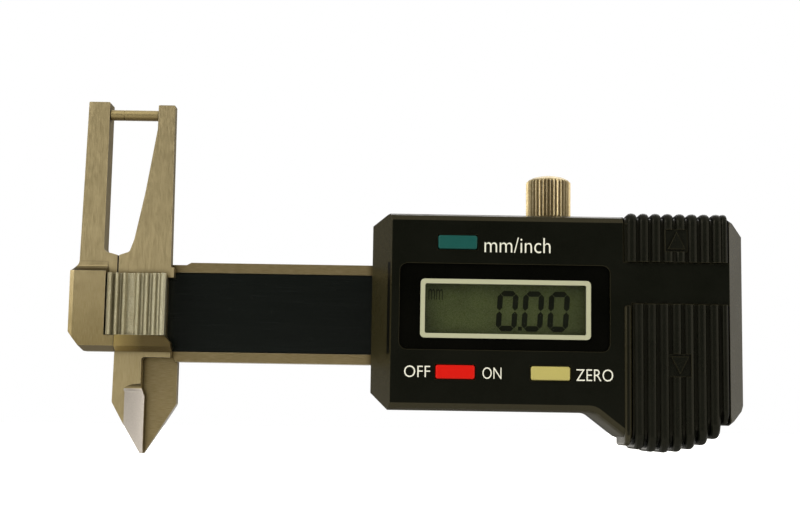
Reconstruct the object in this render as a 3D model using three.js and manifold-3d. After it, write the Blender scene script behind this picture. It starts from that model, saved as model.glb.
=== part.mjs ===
// Digital tire tread gauge with caliper jaws, in millimetres.
//
// X runs along the beam from the fixed jaw to the display housing, Z is up and the front
// faces -Y. The origin is on the beam's flat back, on its centreline, in line with the two
// anvils where they meet at a reading of zero. Every piece is drawn closed, at zero.

import * as THREE from "three";
import { mergeVertices } from "three/addons/utils/BufferGeometryUtils.js";
import Module from "manifold-3d";

const wasm = await Module();
wasm.setup();

// ---------------------------------------------------------------- driving dimensions

const GAP = 0.05; // closest distance between two neighbouring pieces

// Beam, with a dovetail channel open to the front
const BEAM_FRONT = -3;
const BEAM_HALF = 8;
const BEAM_LEFT = -7;
const BEAM_RIGHT = 97.95;
const BEAM_SEAT = 0.1; // the beam's back is this much thinner inside the housing
const CHANNEL_LEFT = -0.3;
const CHANNEL_FLOOR = -0.8;
const CHANNEL_MOUTH_HALF = 6.4;
const CHANNEL_ROOT_HALF = 6.6;
const TONGUE_HALF = 5.9;

// Layers from the beam outwards
const PLATE_BACK = -3.1;
const PLATE_FRONT = -5.1;
const RAISED_FRONT = -6.6;
const ARM_BACK = -1.5;

// Jaws
const FIXED_ARM_TOP = 33.8;
const MOVING_ARM_TOP = 33.4;
const ANVIL_HEIGHT = 31.8;
const ANVIL_DEPTH = -4.1;
const ANVIL_RADIUS = 0.86;
const SPIGOT_RADIUS = 0.5;
const TIP_X = 4.78;
const TIP_Z = -22.6;
const BLOCK_FOOT = -6.6; // lower end of the fixed block and of the pad's sill
const SEAM_HALF = 0.12; // half the visible gap between the two arms' feet

// Scale bar and depth blade
const BAR_BACK = -0.9;
const BAR_FRONT = -2.7;
const BAR_LEFT = 0.3;
const BAR_RIGHT = 72.3;
const BLADE_HALF = 1.6;
const BLADE_BACK = -1.5;
const BLADE_FRONT = -2.5;
const RIVET_X = 68.8;

// Display housing
const BODY_LEFT = 40.75;
const BODY_RIGHT = 99.85;
const BODY_TOP = 15.7;
const BODY_BOTTOM = -15.1;
const BODY_FRONT = -10;
const SIDE_BEVEL = 3.1;
const SIDE_BEVEL_DEPTH = 5;
const COVER_LEFT = 81.5; // battery cover recess
const COVER_RIGHT = 96.55;
const PORT_LEFT = 80.25;
const FOOT_X = 86.25; // centre of the rounded lower right end
const FOOT_Z = -5.3;
const FOOT_RADIUS = 15;
const BACK_PLATE_BACK = 2.6;

// Ribs on the two sliding covers
const COVER_BACK = -0.6;
const PORT_RIBS = { first: 81.5, pitch: 1.91, count: 8 };
const BATTERY_RIBS = { first: 82.62, pitch: 1.95, count: 7 };
const RIM_RIB = { inset: 0.5, width: 0.95 }; // narrow rib along a cover's right edge
const RIB_WIDTH = 1.62;
const RIB_ROUND = 0.7;
const RIB_HEIGHT = 0.6;
const RIB_FRONT = BODY_FRONT - RIB_HEIGHT;
const RIB_REACH = 15.8; // from the foot's centre to the ribs' round lower ends

// Lock screw
const LOCK_X = 69.2;
const LOCK_Y = -1.6;
const LOCK_HEAD_BOTTOM = 15.95;
const LOCK_HEAD_TOP = 23.18;
const LOCK_HEAD_RADIUS = 3.65;
const LOCK_TIP = 6.98;

// Buttons: centre and size of each cap
const BUTTON = { width: 6.1, height: 2.15, front: -10.4 };
const UNIT_BUTTON = { x: 54.15, z: 11.15 };
const POWER_BUTTON = { x: 53.95, z: -9.15 };
const ZERO_BUTTON = { x: 68.75, z: -9.15 };

// Display window
const WINDOW = { left: 49.15, right: 74.35, bottom: -3.15, top: 4.65 };
const BEZEL_WIDTH = 0.72;

// ---------------------------------------------------------------- solids from geometry

// Six times the volume inside a mesh; negative when its faces point inwards.
function signedVolume(positions, triangles) {
  const corner = (i) => new THREE.Vector3().fromArray(positions, triangles[i] * 3);
  let sum = 0;
  for (let i = 0; i < triangles.length; i += 3) {
    sum += corner(i).dot(corner(i + 1).cross(corner(i + 2)));
  }
  return sum;
}

function solid(geometry) {
  geometry.deleteAttribute("normal");
  geometry.deleteAttribute("uv");
  const merged = mergeVertices(geometry, 1e-4);
  const vertProperties = new Float32Array(merged.attributes.position.array);
  const triVerts = new Uint32Array(merged.index.array);
  if (signedVolume(vertProperties, triVerts) < 0) triVerts.reverse();
  return new wasm.Manifold(new wasm.Mesh({ numProp: 3, vertProperties, triVerts }));
}

function join(first, ...rest) {
  return rest.reduce((sum, piece) => sum.add(piece), first);
}

function cut(first, ...rest) {
  return rest.reduce((left, piece) => left.subtract(piece), first);
}

function geometryOf(manifold) {
  const mesh = manifold.getMesh();
  const geometry = new THREE.BufferGeometry();
  geometry.setAttribute("position", new THREE.BufferAttribute(mesh.vertProperties, 3));
  geometry.setIndex(new THREE.BufferAttribute(mesh.triVerts, 1));
  geometry.computeVertexNormals();
  return geometry;
}

// A closed outline from corners [u, v] or [u, v, radius]; a radius rounds that corner.
function outline(corners, arcSteps = 5) {
  const count = corners.length;
  const points = [];
  corners.forEach(([u, v, radius = 0], i) => {
    const corner = new THREE.Vector2(u, v);
    if (radius === 0) {
      points.push(corner);
      return;
    }
    const towards = (neighbour) => {
      const [x, y] = corners[(neighbour + count) % count];
      return new THREE.Vector2(x, y).sub(corner).normalize();
    };
    const toPrevious = towards(i - 1);
    const toNext = towards(i + 1);
    const halfAngle = Math.acos(THREE.MathUtils.clamp(toPrevious.dot(toNext), -1, 1)) / 2;
    const middle = toPrevious.clone().add(toNext).normalize();
    const centre = corner.clone().addScaledVector(middle, radius / Math.sin(halfAngle));
    const start = corner.clone().addScaledVector(toPrevious, radius / Math.tan(halfAngle)).sub(centre);
    const end = corner.clone().addScaledVector(toNext, radius / Math.tan(halfAngle)).sub(centre);
    const turn = Math.atan2(start.x * end.y - start.y * end.x, start.dot(end));
    for (let step = 0; step <= arcSteps; step += 1) {
      const spoke = start.clone().rotateAround(new THREE.Vector2(), (turn * step) / arcSteps);
      points.push(centre.clone().add(spoke));
    }
  });
  return new THREE.Shape(points);
}

function extrusion(shape, depth, options = {}) {
  return new THREE.ExtrudeGeometry(shape, { depth, bevelEnabled: false, curveSegments: 12, ...options });
}

// Outline in (x, z), thickness along Y from front to back.
function slab(corners, front, back) {
  const geometry = extrusion(outline(corners), back - front);
  geometry.rotateX(Math.PI / 2);
  geometry.translate(0, back, 0);
  return solid(geometry);
}

// Outline in (y, z), length along X.
const ALONG_X = new THREE.Matrix4().makeBasis(
  new THREE.Vector3(0, 1, 0),
  new THREE.Vector3(0, 0, 1),
  new THREE.Vector3(1, 0, 0),
);

function beamAlongX(corners, left, right, options = {}) {
  const geometry = extrusion(outline(corners), right - left, options);
  geometry.applyMatrix4(ALONG_X);
  geometry.translate(left, 0, 0);
  return solid(geometry);
}

// Outline in (x, y), height along Z.
function columnAlongZ(corners, bottom, top) {
  const geometry = extrusion(outline(corners), top - bottom);
  geometry.translate(0, 0, bottom);
  return solid(geometry);
}

function box([left, right], [front, back], [bottom, top]) {
  const geometry = new THREE.BoxGeometry(right - left, back - front, top - bottom);
  geometry.translate((left + right) / 2, (front + back) / 2, (bottom + top) / 2);
  return solid(geometry);
}

function rod(radius, length, sides = 16) {
  return new THREE.CylinderGeometry(radius, radius, length, sides);
}

function rodAlongY(x, z, radius, front, back, sides = 16) {
  const geometry = rod(radius, back - front, sides);
  geometry.translate(x, (front + back) / 2, z);
  return solid(geometry);
}

function rodAlongZ(x, y, radius, bottom, top, sides = 16) {
  const geometry = rod(radius, top - bottom, sides);
  geometry.rotateX(Math.PI / 2);
  geometry.translate(x, y, (bottom + top) / 2);
  return solid(geometry);
}

function rodAlongX(y, z, radius, left, right, sides = 16) {
  const geometry = rod(radius, right - left, sides);
  geometry.rotateZ(Math.PI / 2);
  geometry.translate((left + right) / 2, y, z);
  return solid(geometry);
}

// A turned shape on an axis along Y through (x, z); profile points are [radius, y].
function turnedAlongY(x, z, profile, sides = 32) {
  const points = profile.map(([radius, y]) => new THREE.Vector2(radius, y));
  const geometry = new THREE.LatheGeometry(points, sides);
  geometry.translate(x, 0, z);
  return solid(geometry);
}

// A turned shape on an axis along Z through (x, y); profile points are [radius, z].
function turnedAlongZ(x, y, profile, sides = 32) {
  const points = profile.map(([radius, z]) => new THREE.Vector2(radius, z));
  const geometry = new THREE.LatheGeometry(points, sides);
  geometry.rotateX(Math.PI / 2);
  geometry.translate(x, y, 0);
  return solid(geometry);
}

// ---------------------------------------------------------------- materials

function finish(color, roughness, metalness) {
  return new THREE.MeshStandardMaterial({ color, roughness, metalness });
}

const STAINLESS = finish(0x9a8b65, 0.35, 1);
const PAD_STEEL = finish(0xb5ae90, 0.5, 1);
const BRASS = finish(0xb08d3c, 0.35, 1);
const HOUSING_PLASTIC = finish(0x17170f, 0.45, 0);
const LABEL_BLACK = finish(0x12120f, 0.4, 0);
const BEZEL_PLASTIC = finish(0xb9bb9c, 0.5, 0);
const LENS_CLEAR = finish(0xdfe6dc, 0.05, 0);
const PANEL_GLASS = finish(0x5a5f45, 0.15, 0);
const BOARD_GREEN = finish(0x1f5a36, 0.5, 0);
const RUBBER = finish(0x2b2b2b, 0.8, 0);
const RESIN = finish(0x101010, 0.3, 0);
const TEAL = finish(0x2f7f78, 0.45, 0);
const RED = finish(0xd9261a, 0.4, 0);
const CREAM = finish(0xd8ce86, 0.45, 0);

const gauge = new THREE.Group();

function part(name, shape, material) {
  const mesh = new THREE.Mesh(geometryOf(shape), material);
  mesh.name = name;
  gauge.add(mesh);
}

// ---------------------------------------------------------------- countersunk screws

// Head flush with headFace, shank running along direction (+1 towards +Y, -1 towards -Y).
function countersunkAlongY(x, z, headFace, direction, headRadius, shankRadius, length) {
  const headDepth = headRadius - shankRadius;
  const profile = [
    [0, headFace],
    [headRadius, headFace],
    [shankRadius, headFace + direction * headDepth],
    [shankRadius, headFace + direction * length],
    [0, headFace + direction * length],
  ];
  return turnedAlongY(x, z, direction > 0 ? profile : profile.reverse(), 18);
}

// Screw with a cross recess in its head.
function crossScrew(x, z, headFace, direction, headRadius, shankRadius, length) {
  const depth = headRadius * 0.45;
  const faces = [headFace - direction * 0.1, headFace + direction * depth].sort((a, b) => a - b);
  const arm = headRadius * 0.62;
  const halfSlot = headRadius * 0.15;
  return cut(
    countersunkAlongY(x, z, headFace, direction, headRadius, shankRadius, length),
    box([x - arm, x + arm], faces, [z - halfSlot, z + halfSlot]),
    box([x - halfSlot, x + halfSlot], faces, [z - arm, z + arm]),
  );
}

// The hole for it, larger all round and longer by spare.
function screwHole(x, z, headFace, direction, headRadius, shankRadius, length, spare = 0.3) {
  const loose = 0.1;
  const start = headFace - direction * loose;
  const depth = length + loose + spare;
  return countersunkAlongY(x, z, start, direction, headRadius + 2 * loose, shankRadius + loose, depth);
}

// ---------------------------------------------------------------- beam and fixed jaw

const REAR_KNIFE_BACK = -0.8;
const JAW_SCREWS = [-3.2, 3.2].map((z) => [-3.9, z, 0, -1, 1.5, 0.8, 5.4]);

// The rear half of the lower pair of knife jaws; its measuring edge faces left and passes
// just behind the front half's edge.
function rearKnife() {
  const edge = TIP_X - 0.35;
  const blade = slab(
    [
      [3.8, -6.6],
      [3.8, -12, 1],
      [edge, -13.4],
      [edge, TIP_Z],
      [TIP_X + 0.05, TIP_Z],
      [9.68, -14.8, 0.8],
      [9.68, -6.6],
    ],
    -2.6,
    REAR_KNIFE_BACK,
  );
  return cut(blade, knifeGrind(1));
}

// Hollow-ground facet that thins a knife jaw towards its measuring edge. side = -1 grinds
// the front of the front jaw, side = 1 the back of the rear jaw.
function knifeGrind(side) {
  const face = side < 0 ? PLATE_FRONT : REAR_KNIFE_BACK;
  const wide = TIP_X + side * 2.95;
  const past = TIP_X - side * 0.4;
  const depth = 1.25;
  const wheelRadius = 1;
  const facetTop = -12.6;
  const wedge = columnAlongZ(
    [
      [wide, face],
      [past, face - side * depth],
      [past, face + side],
      [wide, face + side],
    ],
    TIP_Z - 1,
    facetTop,
  );
  const wheel = rod(wheelRadius, 5, 24);
  wheel.rotateZ(Math.PI / 2);
  wheel.rotateZ(Math.atan2(-side * depth, past - wide));
  wheel.translate((wide + past) / 2, face - (side * depth) / 2 + side * wheelRadius, facetTop);
  return join(wedge, solid(wheel));
}

function frameBeam() {
  const profile = [
    [0, -BEAM_HALF],
    [0, BEAM_HALF],
    [BEAM_FRONT, BEAM_HALF],
    [BEAM_FRONT, CHANNEL_MOUTH_HALF],
    [CHANNEL_FLOOR, CHANNEL_ROOT_HALF],
    [CHANNEL_FLOOR, -CHANNEL_ROOT_HALF],
    [BEAM_FRONT, -CHANNEL_MOUTH_HALF],
    [BEAM_FRONT, -BEAM_HALF],
  ];
  const channel = beamAlongX(profile, CHANNEL_LEFT, BEAM_RIGHT);
  const tongue = slab(
    [
      [BEAM_LEFT, -3.4],
      [-4.7, -TONGUE_HALF],
      [0, -TONGUE_HALF],
      [0, TONGUE_HALF],
      [BEAM_LEFT, TONGUE_HALF],
    ],
    BEAM_FRONT,
    0,
  );
  const tongueOnly = cut(tongue, box([CHANNEL_LEFT, 1], [-4, 1], [-8, 8]));
  const upperStep = slab([[-1, TONGUE_HALF], [0.05, TONGUE_HALF], [0.05, 9], [-1, 9]], -4, 1);
  const lowerStep = slab(
    [
      [-1, -9],
      [3.8, -9],
      [3.8, -7.3, 0.5],
      [0.4, -7.3, 0.5],
      [0.05, -TONGUE_HALF],
      [-1, -TONGUE_HALF],
    ],
    -4,
    1,
  );
  const railRelief = slab(
    [
      [-1, 7.6],
      [10.7, 7.6],
      [11.45, BEAM_HALF + 0.01],
      [11.45, 9],
      [-1, 9],
    ],
    -4,
    1,
  );
  const shoulder = slab(
    [
      [0, -9],
      [9.75, -9],
      [8.85, -6.7, 0.9],
      [0, -6.7],
    ],
    -4,
    -2.6,
  );
  const housingSeat = box([BODY_LEFT - 0.3, BEAM_RIGHT + 1], [-BEAM_SEAT, 1], [-9, 9]);
  const lockHole = rodAlongZ(LOCK_X, LOCK_Y, 1.08, 5, 9);
  return cut(
    join(channel, tongueOnly, rearKnife()),
    upperStep,
    lowerStep,
    railRelief,
    shoulder,
    housingSeat,
    lockHole,
    ...JAW_SCREWS.map((screw) => screwHole(...screw)),
  );
}

const BLOCK_OUTLINE = [
  [-7.35, 6.15, 0.3],
  [-7.35, -3.6, 0.4],
  [-4.95, BLOCK_FOOT, 0.3],
  [-GAP, BLOCK_FOOT],
  [-GAP, -4.05],
  [-1.6, -4.05],
  [-1.6, 6.15],
];

const FIXED_ARM_OUTLINE = [
  [-7.35, 6.1],
  [-6.18, 7.4, 1.2],
  [-5.67, FIXED_ARM_TOP, 0.15],
  [-2.28, FIXED_ARM_TOP, 0.15],
  [-2.35, 9.35, 0.9],
  [-1, 9.1, 0.5],
  [-SEAM_HALF, 8.85],
  [-SEAM_HALF, -5],
  [-5, -5],
  [-7.3, -3],
];

// Slope under the raised front of the block and of the sill, from their front edge back
// to the plate.
function underSlope(left, right) {
  const frontEdge = -5.75;
  const slope = (BLOCK_FOOT - frontEdge) / (PLATE_FRONT - RAISED_FRONT);
  const spare = 0.1;
  return beamAlongX(
    [
      [RAISED_FRONT - spare, frontEdge - slope * spare],
      [PLATE_FRONT, BLOCK_FOOT],
      [PLATE_FRONT, BLOCK_FOOT - spare],
      [RAISED_FRONT - spare, BLOCK_FOOT - spare],
    ],
    left,
    right,
  );
}

function fixedJaw() {
  const arm = slab(FIXED_ARM_OUTLINE, PLATE_FRONT, ARM_BACK);
  const plate = slab(BLOCK_OUTLINE, PLATE_FRONT, BEAM_FRONT - GAP);
  const raised = slab(BLOCK_OUTLINE, RAISED_FRONT, PLATE_FRONT);
  const fillet = beamAlongX(
    [
      [PLATE_FRONT + 0.2, 5.95],
      [RAISED_FRONT, 5.95],
      [RAISED_FRONT, 6.15],
      [PLATE_FRONT - 0.05, 6.25, 1.2],
      [PLATE_FRONT - 0.05, 7.75],
      [PLATE_FRONT + 0.2, 7.75],
    ],
    -7.35,
    -1.6,
  );
  const filletInArm = fillet.intersect(slab(FIXED_ARM_OUTLINE, -7, -5));
  const tongueRoom = box([-9, 1], [BEAM_FRONT - GAP, 1], [-9, 6.15]);
  const edgeBevel = columnAlongZ(
    [
      [-8, -5.83],
      [-6, -6.97],
      [-8, -6.97],
    ],
    -7,
    6.5,
  );
  const anvilHole = rodAlongX(ANVIL_DEPTH, ANVIL_HEIGHT, SPIGOT_RADIUS + 0.06, -4, 0);
  return cut(
    join(cut(arm, tongueRoom), plate, raised, filletInArm),
    edgeBevel,
    underSlope(-8, 0),
    anvilHole,
    ...JAW_SCREWS.map((screw) => screwHole(...screw)),
  );
}

// Anvil with its measuring face at face, its thicker part reaching shoulder and a thin
// spigot in the arm beyond it.
function anvilPin(face, shoulder, spigotEnd) {
  const low = Math.min(face, shoulder);
  const high = Math.max(face, shoulder);
  const spigotLow = Math.min(shoulder, spigotEnd);
  const spigotHigh = Math.max(shoulder, spigotEnd);
  return join(
    rodAlongX(ANVIL_DEPTH, ANVIL_HEIGHT, ANVIL_RADIUS, low, high, 24),
    rodAlongX(ANVIL_DEPTH, ANVIL_HEIGHT, SPIGOT_RADIUS, spigotLow - 0.01, spigotHigh + 0.01),
  );
}

part("frame_beam", frameBeam(), STAINLESS);
part("fixed_jaw", fixedJaw(), STAINLESS);
part("fixed_anvil_pin", anvilPin(-0.01, -2.24, -3.8), STAINLESS);
["lower", "upper"].forEach((place, i) => {
  part(`fixed_jaw_screw_${place}`, crossScrew(...JAW_SCREWS[i]), STAINLESS);
});

// ---------------------------------------------------------------- slider

const SLIDER_SCREWS = [-3.2, 3.2].map((z) => [2.6, z, PLATE_FRONT, 1, 1.2, 0.7, 3.6]);

const MOVING_JAW_OUTLINE = [
  [SEAM_HALF, 8.85],
  [SEAM_HALF, -6],
  [0, -6.2],
  [0, BLOCK_FOOT - GAP],
  [-0.06, BLOCK_FOOT - 2 * GAP],
  [-0.16, -14.6, 0.7],
  [TIP_X - 0.4, TIP_Z],
  [TIP_X, TIP_Z],
  [TIP_X, -13.6, 0.5],
  [4.3, -12.3, 0.9],
  [4.28, -7.4, 0.45],
  [8.84, -7.4],
  [8.84, -5.9],
  [7.95, -3.9],
  [7.95, 5.35],
  [9, 5.35],
  [8.97, 6.95],
  [8.47, 7, 0.2],
  [8.3, MOVING_ARM_TOP, 0.15],
  [5.6, MOVING_ARM_TOP, 0.15],
  [5.58, 29.5],
  [3.95, 19, 40],
  [2.45, 11.4, 5],
  [1.75, 9.4, 0.6],
];

function movingJaw() {
  const anvilHole = rodAlongX(ANVIL_DEPTH, ANVIL_HEIGHT, SPIGOT_RADIUS + 0.06, 5, 7.3);
  return cut(
    slab(MOVING_JAW_OUTLINE, PLATE_FRONT, PLATE_BACK),
    knifeGrind(-1),
    anvilHole,
    ...SLIDER_SCREWS.map((screw) => screwHole(...screw)),
  );
}

// Centres of the pad's ribs: three, a smooth middle and four more.
const PAD_RIBS = [-0.8, 0.24, 1.43, 3.57, 4.93, 6.2, 7.55];

// Scooped pad: ribs on both flanks, rising towards the left and right edges.
function thumbPad() {
  const back = PLATE_FRONT - GAP;
  const valley = -6.05;
  const rise = (x) => valley - 0.55 * ((x - 2.6) / 4.6) ** 2;
  const ribHeight = 0.5;
  const crestHalf = 0.15;
  const footLeft = 0.56;
  const footRight = 0.46;
  const surface = PAD_RIBS.flatMap((x) => [
    [x - footLeft, rise(x - footLeft)],
    [x - crestHalf, rise(x) - ribHeight],
    [x + crestHalf, rise(x) - ribHeight],
    [x + footRight, rise(x + footRight)],
  ]);
  const left = -1.2;
  const right = 8;
  const ribbed = columnAlongZ(
    [[left, back], ...[[left, rise(left)], ...surface, [right, rise(right)]], [right, back]],
    -4,
    5.85,
  );
  const sill = slab(
    [
      [GAP, -3.95],
      [8, -3.95],
      [8.05, -4.1],
      [9, -5.1],
      [9.15, BLOCK_FOOT],
      [GAP, BLOCK_FOOT],
    ],
    RAISED_FRONT,
    back,
  );
  return join(ribbed, cut(sill, underSlope(0, 10)));
}

function scaleBar() {
  const bar = beamAlongX(
    [
      [BAR_BACK, -6.46],
      [BAR_BACK, 6.46],
      [BAR_FRONT, 6.28],
      [BAR_FRONT, -6.28],
    ],
    BAR_LEFT,
    BAR_RIGHT,
  );
  const boss = box([BAR_LEFT + 0.2, 5.4], [PLATE_BACK + GAP, -2], [-5.2, 5.2]);
  const seatHalf = BLADE_HALF + GAP;
  const bladeSeat = box([65.3, BAR_RIGHT + 1], [-3, BLADE_BACK + GAP], [-seatHalf, seatHalf]);
  const rivetHole = rodAlongY(RIVET_X, 0, 0.68, -3, 0);
  return cut(join(bar, boss), bladeSeat, rivetHole, ...SLIDER_SCREWS.map((screw) => screwHole(...screw)));
}

function depthBlade() {
  const blade = slab(
    [
      [65.4, -BLADE_HALF],
      [BODY_RIGHT - GAP, -BLADE_HALF],
      [BODY_RIGHT - GAP, BLADE_HALF - 0.9],
      [BODY_RIGHT - 0.9, BLADE_HALF],
      [65.4, BLADE_HALF],
    ],
    BLADE_FRONT,
    BLADE_BACK,
  );
  return cut(blade, rodAlongY(RIVET_X, 0, 0.68, -3, 0));
}

part("moving_jaw", movingJaw(), STAINLESS);
part("moving_anvil_pin", anvilPin(0.01, 5.54, 7), STAINLESS);
part("thumb_pad", thumbPad(), PAD_STEEL);
part("scale_bar", scaleBar(), STAINLESS);
part("scale_cover", box([5.6, 71.9], [-2.95, BAR_FRONT - 0.02], [-6.28, 6.28]), LABEL_BLACK);
["lower", "upper"].forEach((place, i) => {
  part(`slider_screw_${place}`, crossScrew(...SLIDER_SCREWS[i]), STAINLESS);
});
part("depth_blade", depthBlade(), STAINLESS);
part("blade_rivet", rodAlongY(RIVET_X, 0, 0.6, -2.64, -0.95), STAINLESS);

// ---------------------------------------------------------------- display housing

// Points on the rounded foot of the lower right end, from x = from to x = to.
function footArc(radius, from, to, steps = 10) {
  const angleAt = (x) => Math.asin((x - FOOT_X) / radius);
  return Array.from({ length: steps + 1 }, (_, i) => {
    const angle = THREE.MathUtils.lerp(angleAt(from), angleAt(to), i / steps);
    return [FOOT_X + radius * Math.sin(angle), FOOT_Z - radius * Math.cos(angle)];
  });
}

// Outline shared by front cover and back plate, from the top left corner down and round.
const BODY_OUTLINE = [
  [43.5, BODY_TOP],
  [BODY_LEFT, 14.1],
  [BODY_LEFT, -12.5],
  [43.4, BODY_BOTTOM],
  [75.45, BODY_BOTTOM, 2],
  [80.2, -18.75],
  ...footArc(FOOT_RADIUS - 0.3, 81.05, 92.5),
  [96.4, -17],
  [99.45, -14.5],
  [BODY_RIGHT, -13.6],
  [BODY_RIGHT, 13.3],
  [96.45, BODY_TOP],
];

function footDisc(radius, front, back, edgeRound) {
  const profile = [[0, front]];
  const steps = 4;
  for (let i = 0; i <= steps; i += 1) {
    const angle = (Math.PI / 2) * (i / steps);
    profile.push([radius - edgeRound * (1 - Math.sin(angle)), front + edgeRound * (1 - Math.cos(angle))]);
  }
  profile.push([radius, back], [0, back]);
  return turnedAlongY(FOOT_X, FOOT_Z, profile, 72);
}

// Outline extruded with a bevel round its front edge only.
function bevelledSlab(corners, front, back, bevel, bevelDepth) {
  const geometry = extrusion(outline(corners), back - front, {
    bevelEnabled: true,
    bevelThickness: bevelDepth,
    bevelSize: bevel,
    bevelOffset: -bevel,
    bevelSegments: 2,
  });
  geometry.rotateX(Math.PI / 2);
  geometry.translate(0, back + bevelDepth, 0);
  const above = box([0, 120], [back, back + 20], [-60, 60]);
  return cut(solid(geometry), above);
}

// Dovetail recess (or the plate that slides in it, with a smaller width).
function dovetail(left, right, back, front, bottom, top, flare = 0.4) {
  const corners = [
    [left - flare, back],
    [right + flare, back],
    [right, front],
    [left, front],
  ];
  return columnAlongZ(corners, bottom, top);
}

const HOUSING_SCREWS = [
  [45.45, 12.4],
  [45.45, -11.4],
  [97.15, 10.8],
  [97.15, -10.8],
].map(([x, z]) => [x, z, BACK_PLATE_BACK, -1, 1.6, 0.9, 7.4]);

function buttonHole({ x, z }) {
  const room = 0.12;
  const halfWidth = BUTTON.width / 2 + room;
  const halfHeight = BUTTON.height / 2 + room;
  return box([x - halfWidth, x + halfWidth], [-11, -8], [z - halfHeight, z + halfHeight]);
}

function frontCover() {
  const shell = join(bevelledSlab(BODY_OUTLINE, BODY_FRONT, 0, 1.1, 1.2), edgeRib());
  const footRoom = cut(
    box([COVER_LEFT - 0.1, COVER_RIGHT + 0.1], [-12, 1], [-25, FOOT_Z]),
    footDisc(12.75, -13, 2, 0.1),
  );
  const portStep = box([PORT_LEFT, COVER_RIGHT], [-12, 1], [14.85, 20]);
  const sides = columnAlongZ(
    [
      [BODY_LEFT - 1, 1],
      [BODY_LEFT - 1, -4],
      [BODY_LEFT, BODY_FRONT + SIDE_BEVEL_DEPTH],
      [BODY_LEFT + SIDE_BEVEL, BODY_FRONT],
      [BODY_LEFT + SIDE_BEVEL, BODY_FRONT - 1],
      [BODY_RIGHT - SIDE_BEVEL, BODY_FRONT - 1],
      [BODY_RIGHT - SIDE_BEVEL, BODY_FRONT],
      [BODY_RIGHT, BODY_FRONT + SIDE_BEVEL_DEPTH],
      [BODY_RIGHT + 1, -4],
      [BODY_RIGHT + 1, 1],
    ],
    -25,
    25,
  );
  const electronicsBay = cut(
    box([43.55, 79.55], [-8.3, 1], [-13.2, 14.4]),
    ...HOUSING_SCREWS.slice(0, 2).map(([x, z]) => rodAlongY(x, z, 2.2, -9, 1)),
  );
  const beamBay = box([BODY_LEFT - 1, BEAM_RIGHT + 0.25], [-3.15, 1], [-8.15, 8.15]);
  const bladeSlot = box([97.3, 101], [BLADE_FRONT - 0.12, BLADE_BACK + 0.12], [-1.75, 1.75]);
  const displayRecess = slab(
    [
      [45.15, -5.7, 1.2],
      [78.05, -5.7, 1.2],
      [78.05, 7.8, 1.2],
      [45.15, 7.8, 1.2],
    ],
    -11,
    -9.55,
  );
  const bezelSeat = frameOutline(BEZEL_WIDTH + 0.05, -11, -9.2);
  const window = frameOutline(0, -11, -8);
  const lensSeat = frameOutline(1.1, -8.75, -8);
  const portRecess = dovetail(PORT_LEFT, COVER_RIGHT, -8.9, -10.4, 8.4, 20);
  const portPocket = box([82.75, 94.75], [-9.2, -6.5], [9.6, 13.4]);
  const batteryRecess = dovetail(COVER_LEFT, COVER_RIGHT, -8.9, -10.4, -24, 2);
  const batteryBay = box([82.65, 95.65], [-9.2, -3.75], [-15, -1.6]);
  const bayFloor = footDisc(11.9, -9.3, -3.75, 0.1);
  const lockHole = rodAlongZ(LOCK_X, LOCK_Y, 1.2, 13, 18);
  return cut(
    shell.intersect(sides),
    footRoom,
    portStep,
    electronicsBay,
    beamBay,
    bladeSlot,
    displayRecess,
    bezelSeat,
    window,
    lensSeat,
    portRecess,
    portPocket,
    batteryRecess,
    batteryBay.intersect(bayFloor),
    lockHole,
    ...[UNIT_BUTTON, POWER_BUTTON, ZERO_BUTTON].map(buttonHole),
    ...HOUSING_SCREWS.map((screw) => screwHole(...screw)),
  );
}

// Window rectangle grown by margin, with small corner radii.
function frameOutline(margin, front, back) {
  const radius = 0.3 + margin * 0.5;
  return slab(
    [
      [WINDOW.left - margin, WINDOW.bottom - margin, radius],
      [WINDOW.right + margin, WINDOW.bottom - margin, radius],
      [WINDOW.right + margin, WINDOW.top + margin, radius],
      [WINDOW.left - margin, WINDOW.top + margin, radius],
    ],
    front,
    back,
  );
}

function backPlate() {
  const plate = slab(BODY_OUTLINE, 0.1, BACK_PLATE_BACK);
  const labelRecess = slab(
    [
      [50.25, -9.5, 1.5],
      [91.75, -9.5, 1.5],
      [91.75, 9.5, 1.5],
      [50.25, 9.5, 1.5],
    ],
    BACK_PLATE_BACK - 0.3,
    BACK_PLATE_BACK + 1,
  );
  return cut(plate, labelRecess, ...HOUSING_SCREWS.map((screw) => screwHole(...screw)));
}

// One half-round rib: the side profile of a cover, rounded at both faces.
function rib(x, corners, width = RIB_WIDTH) {
  const round = RIB_ROUND * (width / RIB_WIDTH);
  return beamAlongX(corners, x - width / 2 + round, x + width / 2 - round, {
    bevelEnabled: true,
    bevelThickness: round,
    bevelSize: round,
    bevelOffset: -round,
    bevelSegments: 3,
  });
}

function ribCentres({ first, pitch, count }) {
  return Array.from({ length: count }, (_, i) => first + i * pitch);
}

// Side profile of a rib that runs down the front and ends on the foot's curve, which has
// the radius reach.
function footRibProfile(x, top, height, reach = RIB_REACH) {
  const low = FOOT_Z - Math.sqrt(reach ** 2 - (x - FOOT_X) ** 2);
  return [
    [COVER_BACK - 0.3, low],
    [BODY_FRONT - height, low, 2.4],
    [BODY_FRONT - height, top],
    [-8.5, top],
    [-8.5, -8],
    [COVER_BACK - 0.3, -8],
  ];
}

// Low rib on the housing itself, along the battery cover's left edge.
function edgeRib() {
  const x = 80.85;
  return rib(x, footRibProfile(x, 1.6, 0.35), 1.1);
}

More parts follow.
